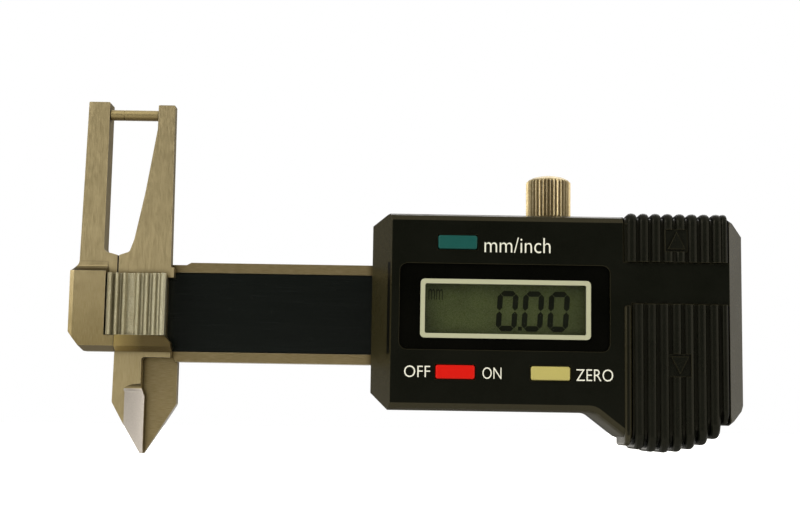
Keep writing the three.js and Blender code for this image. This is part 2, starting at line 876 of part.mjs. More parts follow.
// Smooth patch in the ribs that carries a raised arrow; up is 1 or -1.
function arrowPatch(x, z, up) {
  const patchHalf = 1.75;
  const patchFront = BODY_FRONT - 0.25;
  const across = [x - patchHalf, x + patchHalf];
  const upwards = [z - patchHalf, z + patchHalf];
  const patch = box(across, [patchFront, -9.5], upwards);
  const room = box(across, [-12, patchFront], upwards);
  const arrowHalf = 1.35;
  const arrow = slab(
    [
      [x - arrowHalf, z - up * arrowHalf],
      [x + arrowHalf, z - up * arrowHalf],
      [x, z + up * arrowHalf],
    ],
    RIB_FRONT,
    -9.8,
  );
  return { patch, room, arrow };
}

const PORT_COVER_TOP = 15.5;

function portCover() {
  const middle = (PORT_LEFT + COVER_RIGHT) / 2;
  const left = PORT_LEFT + 0.1;
  const right = COVER_RIGHT - 0.1;
  const bottom = 8.5;
  const base = beamAlongX(
    [
      [COVER_BACK, bottom],
      [BODY_FRONT, bottom],
      [BODY_FRONT, PORT_COVER_TOP, 1.2],
      [COVER_BACK, PORT_COVER_TOP],
    ],
    left,
    right,
  );
  const ribTop = PORT_COVER_TOP + 0.8;
  const ribBottom = bottom - 2 * RIB_ROUND; // cut off straight at the cover's edge below
  const ribProfile = [
    [COVER_BACK, 12],
    [-8.9, ribBottom],
    [RIB_FRONT, ribBottom],
    [RIB_FRONT, ribTop, 1.6],
    [COVER_BACK - 0.3, ribTop],
  ];
  const ribs = ribCentres(PORT_RIBS).map((x) => rib(x, ribProfile));
  ribs.push(rib(right - RIM_RIB.inset, ribProfile, RIM_RIB.width));
  const { patch, room, arrow } = arrowPatch(middle, 11.9, 1);
  const inside = box([80, 99], [-8.95, 1], [0, 14.95]);
  const below = box([80, 101], [-12, 1], [0, bottom]);
  const tongue = dovetail(left, right, -8.95, BODY_FRONT, bottom, 14.5);
  return join(cut(join(base, ...ribs), room, inside, below), patch, arrow, tongue);
}

function batteryCover() {
  const middle = (COVER_LEFT + COVER_RIGHT) / 2;
  const left = COVER_LEFT + 0.1;
  const right = COVER_RIGHT - 0.1;
  const top = 1.9;
  const column = box([left, right], [-12, 5], [-30, top]);
  const base = footDisc(FOOT_RADIUS - 0.45, BODY_FRONT, COVER_BACK, 2).intersect(column);
  const ribTop = top + 2 * RIB_ROUND; // cut off straight at the cover's edge below
  const ribs = ribCentres(BATTERY_RIBS).map((x) => rib(x, footRibProfile(x, ribTop, RIB_HEIGHT)));
  const rim = right - RIM_RIB.inset;
  ribs.push(rib(rim, footRibProfile(rim, ribTop, RIB_HEIGHT, FOOT_RADIUS), RIM_RIB.width));
  const { patch, room, arrow } = arrowPatch(middle - 0.2, -7.6, -1);
  const insideSlab = box([80, 99], [-8.95, 1], [FOOT_Z, 5]);
  const insideFoot = footDisc(12.9, -8.95, 1, 0.1);
  const tongue = dovetail(left, right, -8.95, BODY_FRONT, -13, top);
  const above = box([80, 101], [-12, 1], [top, top + 5]);
  return join(cut(join(base, ...ribs), room, insideSlab, insideFoot, above), patch, arrow, tongue);
}

part("housing_front_cover", frontCover(), HOUSING_PLASTIC);
part("housing_back_plate", backPlate(), HOUSING_PLASTIC);
["upper_left", "lower_left", "upper_right", "lower_right"].forEach((place, i) => {
  part(`housing_screw_${place}`, crossScrew(...HOUSING_SCREWS[i]), STAINLESS);
});
part("port_cover", portCover(), HOUSING_PLASTIC);
part("battery_cover", batteryCover(), HOUSING_PLASTIC);

// ---------------------------------------------------------------- display and board

const BOARD_FRONT = -5.6;
const BOARD_BACK = -4.8;

function circuitBoard() {
  const board = box([43.85, 79.25], [BOARD_FRONT, BOARD_BACK], [-12.9, 14.1]);
  const bossHalf = 2.4;
  const bossRoom = HOUSING_SCREWS.slice(0, 2).map(([x, z]) => {
    const inner = z - Math.sign(z) * bossHalf;
    return box([40, x + bossHalf], [-7, -3], [Math.min(inner, z * 2), Math.max(inner, z * 2)]);
  });
  return cut(board, ...bossRoom);
}

function displayBezel() {
  return cut(frameOutline(BEZEL_WIDTH, -9.95, -9.25), frameOutline(0, -11, -8));
}

function chipResinCap() {
  const foot = BOARD_FRONT - 0.02;
  return turnedAlongY(61.25, 1.2, [[0, -6.5], [2, -6.35], [3.4, -6], [3.9, foot], [0, foot]], 24);
}

part("display_bezel", displayBezel(), BEZEL_PLASTIC);
part("display_lens", frameOutline(1, -8.7, -8.1), LENS_CLEAR);
part("lcd_panel", box([47.85, 75.55], [-8.05, -6.9], [-4.6, 6.2]), PANEL_GLASS);
part("zebra_connector", box([49.25, 74.25], [-6.85, BOARD_FRONT - GAP], [-4.4, -3.2]), RUBBER);
part("circuit_board", circuitBoard(), BOARD_GREEN);
part("chip_resin_cap", chipResinCap(), RESIN);

// ---------------------------------------------------------------- buttons

function button({ x, z }) {
  const { width, height, front } = BUTTON;
  const cap = bevelledSlab(
    [
      [x - width / 2, z - height / 2, 0.35],
      [x + width / 2, z - height / 2, 0.35],
      [x + width / 2, z + height / 2, 0.35],
      [x - width / 2, z + height / 2, 0.35],
    ],
    front,
    -8,
    0.25,
    0.25,
  );
  const flange = box([x - width / 2 - 0.5, x + width / 2 + 0.5], [-8.2, -7.6], [z - 1.5, z + 1.5]);
  const stem = rodAlongY(x, z, 0.9, -7.8, -6.5);
  return join(cap, flange, stem);
}

function snapDome({ x, z }) {
  const base = BOARD_FRONT - 0.02;
  return turnedAlongY(x, z, [[0, base - 0.3], [1.2, base - 0.2], [2, base], [0, base]], 20);
}

const BUTTONS = [
  ["unit", UNIT_BUTTON, TEAL],
  ["power", POWER_BUTTON, RED],
  ["zero", ZERO_BUTTON, CREAM],
];
BUTTONS.forEach(([name, place, material]) => {
  part(`${name}_button`, button(place), material);
  part(`${name}_snap_dome`, snapDome(place), STAINLESS);
});

// ---------------------------------------------------------------- battery and port

const CELL_X = 89.05;
const CELL_Z = -8.2;

function springContact() {
  const leaf = box([85.75, 92.25], [-3.95, -3.8], [CELL_Z - 2.5, CELL_Z + 2.5]);
  const finger = beamAlongX([[-3.9, CELL_Z - 1.5], [-4.15, CELL_Z], [-3.9, CELL_Z + 1.5]], 88.05, 90.05);
  return join(leaf, finger);
}

function buttonCell() {
  const profile = [
    [0, -8.5],
    [5.5, -8.5],
    [5.8, -8.2],
    [5.8, -5],
    [5.3, -4.6],
    [5.1, -4.25],
    [0, -4.25],
  ];
  return turnedAlongY(CELL_X, CELL_Z, profile, 36);
}

part("button_cell", buttonCell(), STAINLESS);
part("cell_spring_contact", springContact(), BRASS);
part("cell_side_contact", box([82.75, 83], [-8, -4.5], [CELL_Z - 2, CELL_Z + 2]), BRASS);
part("port_contact_block", box([84.25, 93.25], [-8.2, -6.6], [10.2, 12.8]), RESIN);

// ---------------------------------------------------------------- lock screw

function lockScrew() {
  const teeth = 36;
  const toothDepth = 0.36;
  const ring = Array.from({ length: teeth * 2 }, (_, i) => {
    const angle = (Math.PI * i) / teeth;
    const radius = LOCK_HEAD_RADIUS - (i % 2) * toothDepth;
    return [LOCK_X + radius * Math.cos(angle), LOCK_Y + radius * Math.sin(angle)];
  });
  const knurl = columnAlongZ(ring, LOCK_HEAD_BOTTOM, LOCK_HEAD_TOP);
  const envelope = turnedAlongZ(
    LOCK_X,
    LOCK_Y,
    [
      [0, LOCK_HEAD_BOTTOM],
      [LOCK_HEAD_RADIUS - 0.45, LOCK_HEAD_BOTTOM],
      [LOCK_HEAD_RADIUS + 0.05, LOCK_HEAD_BOTTOM + 0.5],
      [LOCK_HEAD_RADIUS + 0.05, LOCK_HEAD_TOP - 1.1],
      [LOCK_HEAD_RADIUS - 0.4, LOCK_HEAD_TOP - 0.65],
      [LOCK_HEAD_RADIUS - 1.1, LOCK_HEAD_TOP - 0.3],
      [LOCK_HEAD_RADIUS - 2.1, LOCK_HEAD_TOP - 0.06],
      [0, LOCK_HEAD_TOP],
    ],
  );
  const shaftTop = LOCK_HEAD_BOTTOM + 1;
  const shaft = turnedAlongZ(
    LOCK_X,
    LOCK_Y,
    [
      [0, LOCK_TIP],
      [0.7, LOCK_TIP],
      [1, LOCK_TIP + 0.3],
      [1, shaftTop],
      [0, shaftTop],
    ],
    24,
  );
  return join(knurl.intersect(envelope), shaft);
}

part("lock_screw", lockScrew(), STAINLESS);
part("lock_shoe", rodAlongZ(LOCK_X, LOCK_Y, 0.95, 6.63, 6.93), BRASS);

export default gauge;
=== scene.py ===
"""Looks of a digital tire tread gauge: materials, softened edges, legends, stage and camera."""

import math

import bmesh
import bpy
from mathutils import Matrix, Vector


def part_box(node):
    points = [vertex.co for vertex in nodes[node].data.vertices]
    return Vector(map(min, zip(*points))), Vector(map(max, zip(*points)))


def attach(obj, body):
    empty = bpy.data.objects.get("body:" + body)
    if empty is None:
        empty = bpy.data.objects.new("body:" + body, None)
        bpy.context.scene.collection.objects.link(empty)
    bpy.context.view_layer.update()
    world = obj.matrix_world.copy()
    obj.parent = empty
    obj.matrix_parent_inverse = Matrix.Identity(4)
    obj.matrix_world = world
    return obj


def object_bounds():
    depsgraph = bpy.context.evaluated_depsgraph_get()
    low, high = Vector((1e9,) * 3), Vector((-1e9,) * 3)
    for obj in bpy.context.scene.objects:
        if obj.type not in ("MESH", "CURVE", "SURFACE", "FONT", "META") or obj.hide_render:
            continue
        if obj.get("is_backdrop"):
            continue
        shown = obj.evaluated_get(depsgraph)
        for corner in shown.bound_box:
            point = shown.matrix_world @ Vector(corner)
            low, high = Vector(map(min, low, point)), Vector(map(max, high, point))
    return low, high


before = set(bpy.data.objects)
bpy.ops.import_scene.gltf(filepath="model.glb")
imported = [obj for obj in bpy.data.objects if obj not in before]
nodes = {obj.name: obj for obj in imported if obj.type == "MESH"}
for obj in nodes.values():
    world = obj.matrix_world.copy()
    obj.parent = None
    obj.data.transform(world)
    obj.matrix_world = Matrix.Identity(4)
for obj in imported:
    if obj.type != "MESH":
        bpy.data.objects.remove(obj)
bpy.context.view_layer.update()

MM = 0.001

# Colours are linear, as Blender reads them.
ARM_STEEL = (0.46, 0.375, 0.205)
KNIFE_STEEL = (0.36, 0.29, 0.15)
BLOCK_STEEL = (0.228, 0.172, 0.066)
SILL_STEEL = (0.075, 0.056, 0.024)
BEAM_STEEL = (0.215, 0.165, 0.075)
FACET_STEEL = (0.50, 0.46, 0.425)
PAD_DARK = (0.29, 0.262, 0.165)
PAD_MIDDLE = (0.38, 0.355, 0.25)
# Painted light: the pad grows lighter towards the right.
PAD_PAINTED_LIGHT = (0.52, 0.50, 0.37)
PAD_DIRT = (0.16, 0.14, 0.085)
# Painted highlight on the pad's crests, also standing for wear.
PAD_CREST_HIGHLIGHT = (0.66, 0.66, 0.55)
GROUND_STEEL = (0.50, 0.42, 0.27)
TURNED_STEEL = (0.46, 0.38, 0.23)
PIN_STEEL = (0.36, 0.29, 0.145)
PIN_SHADE = (0.085, 0.062, 0.026)
KNURL_LIGHT = (0.42, 0.34, 0.19)
KNURL_DARK = (0.30, 0.235, 0.12)
KNURL_CREST = (0.74, 0.68, 0.52)
BRASS_BRIGHT = (0.60, 0.38, 0.12)
BRASS_TARNISHED = (0.34, 0.21, 0.08)
# The next three colours: the dark of dirt specks, also used as painted shade in crevices; painted shade on
# steel; and the pale of brush marks, also used as a painted highlight along edges.
STEEL_DIRT_AND_SHADE = (0.060, 0.042, 0.016)
STEEL_PAINTED_SHADE = (0.030, 0.022, 0.009)
STEEL_GRAIN_AND_HIGHLIGHT = (0.80, 0.72, 0.52)
HOUSING_BLACK = (0.0018, 0.0024, 0.0017)
# Painted reflection: the housing's browner slanted sides.
HOUSING_SIDE_REFLECTION = (0.013, 0.011, 0.0035)
HOUSING_EDGE = (0.050, 0.044, 0.022)
RECESS_BLACK = (0.0008, 0.0009, 0.0006)
PLASTIC_SHEEN = (1.0, 0.94, 0.76)
FILM_BLACK = (0.0022, 0.0032, 0.0026)
FILM_SCRATCH = (0.020, 0.019, 0.015)
FILM_DUST = (0.05, 0.05, 0.04)
BOARD_LIGHT = (0.02, 0.16, 0.07)
BOARD_DARK = (0.012, 0.08, 0.04)
INK_WHITE = (0.62, 0.62, 0.54)
LCD_LIGHT = (0.084, 0.096, 0.048)
# Painted shade towards the display's rim.
LCD_RIM_SHADE = (0.034, 0.037, 0.018)
LCD_INK = (0.0030, 0.0040, 0.0022)

# Heights in the row frame, in millimetres.
STEP_BOTTOM, STEP_TOP = 5.6, 8.2  # rounded step between block and thick arm
SILL_TOP = -3.98  # where the pad's ribs end and its sill begins
FACET_TOP = -12.4  # upper end of the ground face on the knife


# ------------------------------------------------------------------ node materials


class Finish:
    """A node material under construction. Its texture space is the row frame in millimetres."""

    def __init__(self, name):
        self.material = bpy.data.materials.new(name)
        self.material.use_nodes = True
        self.tree = self.material.node_tree
        self.shader = self.tree.nodes["Principled BSDF"]
        place = self.node("ShaderNodeTexCoord")
        self.mm = self.scaled(place.outputs["Object"], (1 / MM,) * 3)

    def node(self, kind, **inputs):
        made = self.tree.nodes.new(kind)
        for name, value in inputs.items():
            self.put(made, name.replace("_", " "), value)
        return made

    def put(self, node, name, value):
        socket = node.inputs[name]
        if isinstance(value, bpy.types.NodeSocket):
            self.tree.links.new(value, socket)
        elif isinstance(value, tuple) and socket.type == "RGBA" and len(value) == 3:
            socket.default_value = (*value, 1.0)
        else:
            socket.default_value = value

    def scaled(self, vector, scale):
        mapping = self.node("ShaderNodeMapping", Vector=vector)
        mapping.inputs["Scale"].default_value = scale
        return mapping.outputs["Vector"]

    def noise(self, scale, detail=4.0, stretch=(1, 1, 1), roughness=0.55):
        where = self.scaled(self.mm, stretch)
        made = self.node("ShaderNodeTexNoise", Vector=where, Scale=scale, Detail=detail, Roughness=roughness)
        return made.outputs["Fac"]

    def cells(self, scale, stretch=(1, 1, 1)):
        where = self.scaled(self.mm, stretch)
        made = self.node("ShaderNodeTexVoronoi", Vector=where, Scale=scale)
        return made.outputs["Distance"]

    def remap(self, value, old_low, old_high, low, high):
        made = self.node("ShaderNodeMapRange")
        for socket, number in zip(made.inputs[0:5], (value, old_low, old_high, low, high)):
            self.put(made, socket.name, number)
        return made.outputs["Result"]

    def mix(self, share, first, second):
        made = self.node("ShaderNodeMix")
        made.data_type = "RGBA"
        by_kind = [s for s in made.inputs if s.type == "RGBA"]
        self.fill(made.inputs[0], share)
        self.fill(by_kind[0], first)
        self.fill(by_kind[1], second)
        return next(s for s in made.outputs if s.type == "RGBA")

    def fill(self, socket, value):
        if isinstance(value, bpy.types.NodeSocket):
            self.tree.links.new(value, socket)
        elif isinstance(value, tuple):
            socket.default_value = (*value, 1.0)
        else:
            socket.default_value = value

    def math(self, operation, first, second):
        made = self.node("ShaderNodeMath")
        made.operation = operation
        self.fill(made.inputs[0], first)
        self.fill(made.inputs[1], second)
        return made.outputs[0]

    def edges(self, radius_mm, sharpness=0.25):
        """1 along convex and concave edges, 0 on flat ground."""
        rounded = self.node("ShaderNodeBevel", Radius=radius_mm * MM)
        rounded.samples = 6
        flat = self.node("ShaderNodeNewGeometry")
        compare = self.node("ShaderNodeVectorMath")
        compare.operation = "DOT_PRODUCT"
        self.tree.links.new(rounded.outputs["Normal"], compare.inputs[0])
        self.tree.links.new(flat.outputs["Normal"], compare.inputs[1])
        return self.remap(compare.outputs["Value"], 1.0, 1.0 - sharpness, 0.0, 1.0)

    def crevice(self, reach_mm, strength=1.0):
        """1 in narrow gaps and inner corners, 0 in the open; it places painted shade."""
        open_share = self.node("ShaderNodeAmbientOcclusion", Distance=reach_mm * MM)
        open_share.samples = 8
        return self.remap(open_share.outputs["AO"], 0.35, 0.95, strength, 0.0)

    def axes(self):
        split = self.node("ShaderNodeSeparateXYZ", Vector=self.mm)
        return split.outputs["X"], split.outputs["Y"], split.outputs["Z"]

    def within(self, value, low, high):
        """1 where value lies between low and high."""
        above = self.math("GREATER_THAN", value, low)
        below = self.math("LESS_THAN", value, high)
        return self.math("MULTIPLY", above, below)

    def face_turn(self, axis="X"):
        """One component of the face's own direction."""
        geometry = self.node("ShaderNodeNewGeometry")
        split = self.node("ShaderNodeSeparateXYZ", Vector=geometry.outputs["True Normal"])
        return split.outputs[axis]

    def bump(self, height, depth_mm, below=None):
        made = self.node("ShaderNodeBump", Height=height, Strength=1.0, Distance=depth_mm * MM)
        if below is not None:
            self.tree.links.new(below, made.inputs["Normal"])
        return made.outputs["Normal"]

    def surface(self, **inputs):
        for name, value in inputs.items():
            self.put(self.shader, name.replace("_", " "), value)
        return self.material


def satin_steel(name, grain, top, bottom, rough=0.36, facet=False):
    """Satin stainless steel; grain is short along the direction the brush marks run.

    Its tone goes from top at the arms' tips to bottom below the beam: partly each part's own tone,
    partly painted shade darkening towards the bottom. A facet is the bright ground face beside the
    measuring edge of a knife jaw.
    """
    f = Finish(name)
    z = f.axes()[2]
    marks = f.noise(15.0, 3.0, grain, 0.6)
    fine = f.noise(40.0, 2.0, grain, 0.6)
    clouds = f.noise(0.35, 5.0)
    pores = f.noise(7.0, 3.0)
    # Painted shade: the tone darkens from top to bottom, over each part's own tone.
    tone = f.mix(f.remap(z, -7.0, 9.0, 0, 1), bottom, top)
    tone = f.mix(f.remap(clouds, 0.3, 0.7, 0, 0.3), tone, tuple(0.72 * c for c in bottom))
    tone = f.mix(f.remap(marks, 0.35, 0.7, 0.0, 0.13), tone, STEEL_GRAIN_AND_HIGHLIGHT)
    tone = f.mix(f.remap(pores, 0.64, 0.74, 0.0, 0.22), tone, STEEL_DIRT_AND_SHADE)
    # Painted highlight along the edges, also standing for wear; the brush marks above are the steel's own.
    tone = f.mix(f.math("MULTIPLY", f.edges(0.10), 0.35), tone, STEEL_GRAIN_AND_HIGHLIGHT)
    # Painted shade in gaps and inner corners; the specks above are real dirt.
    tone = f.mix(f.crevice(1.1, 0.85), tone, STEEL_DIRT_AND_SHADE)
    tone = f.mix(f.crevice(0.35, 0.8), tone, STEEL_DIRT_AND_SHADE)
    # Painted shade on faces turned downwards and on faces turned to the right.
    up = f.face_turn("Z")
    tone = f.mix(f.remap(up, -0.12, -0.5, 0.0, 0.85), tone, STEEL_PAINTED_SHADE)
    right_face_shade = f.remap(f.face_turn("X"), 0.6, 0.9, 0.0, 0.22)
    tone = f.mix(right_face_shade, tone, STEEL_PAINTED_SHADE)
    # Painted shade on the upward faces of the rounded step above the block.
    on_step = f.within(z, STEP_BOTTOM, STEP_TOP)
    step_shade = f.math("MULTIPLY", f.remap(up, 0.1, 0.5, 0.0, 0.85), on_step)
    tone = f.mix(step_shade, tone, STEEL_PAINTED_SHADE)
    roughness = f.remap(marks, 0.3, 0.7, rough - 0.05, rough + 0.07)
    if facet:
        low_down = f.math("LESS_THAN", z, FACET_TOP)
        ground = f.math("MULTIPLY", f.within(f.face_turn(), 0.15, 0.55), low_down)
        lit = f.mix(f.remap(pores, 0.4, 0.7, 0.0, 0.4), FACET_STEEL, tuple(0.7 * c for c in FACET_STEEL))
        tone = f.mix(ground, tone, lit)
    shape = f.bump(marks, 0.0035)
    shape = f.bump(fine, 0.0018, shape)
    return f.surface(Base_Color=tone, Metallic=1.0, Roughness=roughness, Normal=shape)


def blasted_steel(name):
    """Grainy steel of the thumb pad's ribs: painted light makes it lighter towards the right, a painted
    highlight that also stands for wear brightens the crests, and painted shade darkens the grooves;
    its sill is satin, with painted shade in its corners.
    """
    f = Finish(name)
    x, _, z = f.axes()
    grains = f.cells(5.5)
    speckle = f.noise(9.0, 5.0)
    streaks = f.noise(2.0, 3.0, (1.4, 1, 0.25))
    base = f.mix(f.remap(streaks, 0.35, 0.7, 0, 1), PAD_DARK, PAD_MIDDLE)
    # Painted light: lighter towards the right of the pad.
    base = f.mix(f.remap(x, 1.5, 8.0, 0, 0.5), base, PAD_PAINTED_LIGHT)
    dirty = f.mix(f.remap(speckle, 0.42, 0.66, 0, 0.6), base, PAD_DIRT)
    # Painted highlight on the crests, strongest on the right-hand ribs, also standing for wear.
    right_rib = f.remap(x, 6.6, 7.8, 0.25, 0.95)
    wear_and_painted_light = f.mix(f.math("MULTIPLY", f.edges(0.14), right_rib), dirty, PAD_CREST_HIGHLIGHT)
    # Painted shade in the grooves between the ribs.
    shaded_in_crevices = f.mix(f.crevice(0.9, 0.45), wear_and_painted_light, STEEL_DIRT_AND_SHADE)
    sill = f.math("LESS_THAN", z, SILL_TOP)
    along = f.mix(f.remap(x, 0.0, 4.5, 0.0, 1.0), BLOCK_STEEL, SILL_STEEL)
    # Painted shade in the sill's corners.
    sill_tone = f.mix(f.crevice(1.1, 0.7), along, STEEL_DIRT_AND_SHADE)
    tone = f.mix(sill, shaded_in_crevices, sill_tone)
    shape = f.bump(grains, 0.03)
    shape = f.bump(speckle, 0.04, shape)
    rough = f.remap(speckle, 0.3, 0.7, 0.34, 0.55)
    return f.surface(Base_Color=tone, Metallic=1.0, Roughness=rough, Normal=shape)


def ground_steel(name, colour=GROUND_STEEL, rough=0.30):
    """Turned or ground hard steel with rings round X, fine scratches and painted shade in its corners."""
    f = Finish(name)
    rings = f.noise(14.0, 2.0, (1, 0.1, 0.1))
    stain = f.noise(0.8, 4.0)
    tint = f.mix(f.remap(stain, 0.35, 0.7, 0, 1), colour, tuple(0.72 * c for c in colour))
    # Painted shade in corners.
    tint = f.mix(f.crevice(0.7, 0.9), tint, STEEL_DIRT_AND_SHADE)
    shape = f.bump(rings, 0.003)
    rough_out = f.remap(rings, 0.3, 0.7, rough - 0.05, rough + 0.1)
    return f.surface(Base_Color=tint, Metallic=1.0, Roughness=rough_out, Normal=shape)


def pin_steel(name):
    """Anvil pins: tan satin rods with painted shade on their lower half and in their corners."""
    f = Finish(name)
    rings = f.noise(9.0, 3.0, (1, 0.15, 0.15))
    # Painted shade on the lower half.
    shade = f.remap(f.face_turn("Z"), 0.35, -0.7, 0.0, 1.0)
    tint = f.mix(shade, PIN_STEEL, PIN_SHADE)
    # Painted shade in corners.
    tint = f.mix(f.crevice(0.6, 0.9), tint, STEEL_DIRT_AND_SHADE)
    rough = f.remap(rings, 0.3, 0.7, 0.36, 0.48)
    return f.surface(Base_Color=tint, Metallic=1.0, Roughness=rough, Normal=f.bump(rings, 0.003))


def knurled_steel(name):
    """Lock screw: warm grooves with bright crests from finger wear and a painted highlight, and painted
    shade deep in the grooves.
    """
    f = Finish(name)
    stain = f.noise(1.6, 4.0)
    nicks = f.noise(12.0, 3.0, (1, 1, 0.3))
    tint = f.mix(f.remap(stain, 0.35, 0.7, 0, 1), KNURL_LIGHT, KNURL_DARK)
    # Crests paler along their edges: partly wear, partly a painted highlight.
    wear_and_painted_light = f.mix(f.math("MULTIPLY", f.edges(0.14), 0.8), tint, KNURL_CREST)
    # Painted shade in the grooves.
    shaded_in_crevices = f.mix(f.crevice(0.5, 1.0), wear_and_painted_light, STEEL_DIRT_AND_SHADE)
    shape = f.bump(nicks, 0.006)
    rough = f.remap(nicks, 0.3, 0.7, 0.30, 0.46)
    return f.surface(Base_Color=shaded_in_crevices, Metallic=1.0, Roughness=rough, Normal=shape)


def brass(name):
    """Machined brass with patches of tarnish."""
    f = Finish(name)
    tarnish = f.noise(1.2, 5.0)
    tint = f.mix(f.remap(tarnish, 0.35, 0.7, 0, 1), BRASS_BRIGHT, BRASS_TARNISHED)
    shape = f.bump(f.noise(12.0, 3.0), 0.004)
    rough = f.remap(tarnish, 0.3, 0.7, 0.22, 0.42)
    return f.surface(Base_Color=tint, Metallic=1.0, Roughness=rough, Normal=shape)


def moulded_plastic(name, colour, edge, rough=0.36, texture_mm=0.004, shine=0.32, recess=False):
    """Injection-moulded plastic: fine spark texture, handling shine, paler edges that are partly wear
    and partly a painted highlight, and painted shade in inner corners.

    With recess, as on the display housing, the sides are browner with a painted reflection and shine more
    than the front, the underside shines least, and the sunk field round the display is deeper black.
    """
    f = Finish(name)
    texture = f.noise(9.0, 4.0, roughness=0.7)
    handling = f.noise(0.12, 5.0)
    scratches = f.noise(3.0, 2.0, (1, 1, 0.06))
    tint = f.mix(f.remap(texture, 0.45, 0.75, 0, 0.12), colour, edge)
    # Paler edges: partly wear, partly a painted highlight.
    wear_and_painted_light = f.mix(f.math("MULTIPLY", f.edges(0.18), 0.55), tint, edge)
    level = shine
    if recess:
        # Painted reflection: the slanted sides are browner.
        slanted = f.remap(f.face_turn("Y"), -0.985, -0.9, 0.0, 1.0)
        wear_and_painted_light = f.mix(slanted, wear_and_painted_light, HOUSING_SIDE_REFLECTION)
        shine = f.remap(slanted, 0, 1, 0.30 * shine, shine)
        facing_down = f.remap(f.face_turn("Z"), -0.72, -0.88, 1.0, 0.35)
        shine = f.math("MULTIPLY", shine, facing_down)
        field = display_field(f)
        wear_and_painted_light = f.mix(field, wear_and_painted_light, RECESS_BLACK)
        level = f.math("MULTIPLY", shine, f.remap(field, 0, 1, 1.0, 0.5))
    # Painted shade in inner corners.
    wear_and_painted_light = f.mix(f.crevice(0.8, 0.8), wear_and_painted_light, tuple(0.25 * c for c in colour))
    roughness = f.remap(handling, 0.3, 0.7, rough - 0.07, rough + 0.07)
    roughness = f.math("ADD", roughness, f.remap(texture, 0.3, 0.7, 0, 0.1))
    underside = f.remap(f.face_turn("Z"), -0.5, -0.75, 0.0, 0.45)
    roughness = f.math("ADD", roughness, underside)
    shape = f.bump(texture, texture_mm)
    shape = f.bump(f.remap(scratches, 0.72, 0.78, 0, 1), 0.003, shape)
    f.surface(Specular_Tint=PLASTIC_SHEEN, Specular_IOR_Level=level)
    return f.surface(Base_Color=wear_and_painted_light, Roughness=roughness, Normal=shape)


def display_field(f):
    """1 on the sunk field round the display bezel, 0 elsewhere."""
    x, y, z = f.axes()
    low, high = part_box("display_bezel")
    border = 2.6
    front, back = 0.25, 2.5
    inside = f.math(
        "MULTIPLY",
        f.within(x, low.x / MM - 2 * border, high.x / MM + 2 * border),
        f.within(z, low.z / MM - border, high.z / MM + border),
    )
    sunk = f.within(y, low.y / MM + front, low.y / MM + back)
    return f.math("MULTIPLY", inside, sunk)


def printed_film(name):
    """Black film on the scale: smooth, with hair scratches along the beam."""
    f = Finish(name)
    hair = f.noise(5.0, 3.0, (0.03, 1, 1), 0.6)
    dust = f.noise(2.5, 5.0)
    tint = f.mix(f.remap(hair, 0.66, 0.8, 0, 0.04), FILM_BLACK, FILM_SCRATCH)
    dusty = f.mix(f.remap(dust, 0.66, 0.8, 0, 0.12), tint, FILM_DUST)
    shape = f.bump(hair, 0.0006)
    rough = f.remap(hair, 0.4, 0.8, 0.22, 0.30)
    return f.surface(Base_Color=dusty, Roughness=rough, Normal=shape, Specular_IOR_Level=0.16)


def clear_lens(name):
    """Thin clear plastic: what lies behind shows through, with a faint reflection."""
    f = Finish(name)
    haze = f.noise(0.5, 4.0)
    see = f.node("ShaderNodeBsdfTransparent", Color=(0.86, 0.88, 0.80))
    rough = f.remap(haze, 0.3, 0.7, 0.03, 0.12)
    gloss = f.node("ShaderNodeBsdfGlossy", Color=(1.0, 1.0, 1.0), Roughness=rough)
    facing = f.node("ShaderNodeFresnel", IOR=1.45)
    share = f.math("MULTIPLY", facing.outputs["Fac"], 0.35)
    both = f.node("ShaderNodeMixShader")
    f.fill(both.inputs[0], share)
    f.tree.links.new(see.outputs[0], both.inputs[1])
    f.tree.links.new(gloss.outputs[0], both.inputs[2])
    f.tree.links.new(both.outputs[0], f.tree.nodes["Material Output"].inputs["Surface"])
    return f.material


def liquid_crystal(name):
    """Grey-green panel with painted shade towards its rim."""
    f = Finish(name)
    low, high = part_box("display_bezel")
    x, _, z = f.axes()
    across = f.remap(x, low.x / MM, high.x / MM, -1, 1)
    up = f.remap(z, low.z / MM, high.z / MM, -1, 1)
    side_rim = f.math("POWER", f.math("ABSOLUTE", across, 0), 10)
    long_rim = f.math("POWER", f.math("ABSOLUTE", up, 0), 4)
    rim = f.math("MAXIMUM", side_rim, long_rim)
    cloud = f.noise(0.25, 4.0)
    base = f.mix(f.remap(cloud, 0.35, 0.65, 0, 1), LCD_LIGHT, tuple(0.78 * c for c in LCD_LIGHT))
    # Painted shade towards the rim.
    shaded = f.mix(f.math("MINIMUM", f.math("MULTIPLY", rim, 0.8), 1.0), base, LCD_RIM_SHADE)
    grain = f.noise(11.0, 2.0)
    rough = f.remap(grain, 0.3, 0.7, 0.22, 0.34)
    return f.surface(Base_Color=shaded, Roughness=rough, Normal=f.bump(grain, 0.002))


def board_green(name):
    """Green solder mask with a raised cell pattern."""
    f = Finish(name)
    tracks = f.cells(0.55)
    tint = f.mix(f.remap(tracks, 0.30, 0.34, 0, 1), BOARD_LIGHT, BOARD_DARK)
    shape = f.bump(f.remap(tracks, 0.28, 0.36, 0, 1), 0.03)
    return f.surface(Base_Color=tint, Roughness=0.35, Normal=shape)


def printed_ink(name, colour):
    """Matt ink of uneven thickness."""
    f = Finish(name)
    body = f.noise(6.0, 4.0)
    tint = f.mix(f.remap(body, 0.35, 0.75, 0, 0.45), colour, tuple(0.6 * c for c in colour))
    rough = f.remap(body, 0.3, 0.7, 0.42, 0.6)
    return f.surface(Base_Color=tint, Roughness=rough, Normal=f.bump(body, 0.002), Specular_IOR_Level=0.15)


# ------------------------------------------------------------------ materials on the CAD pieces

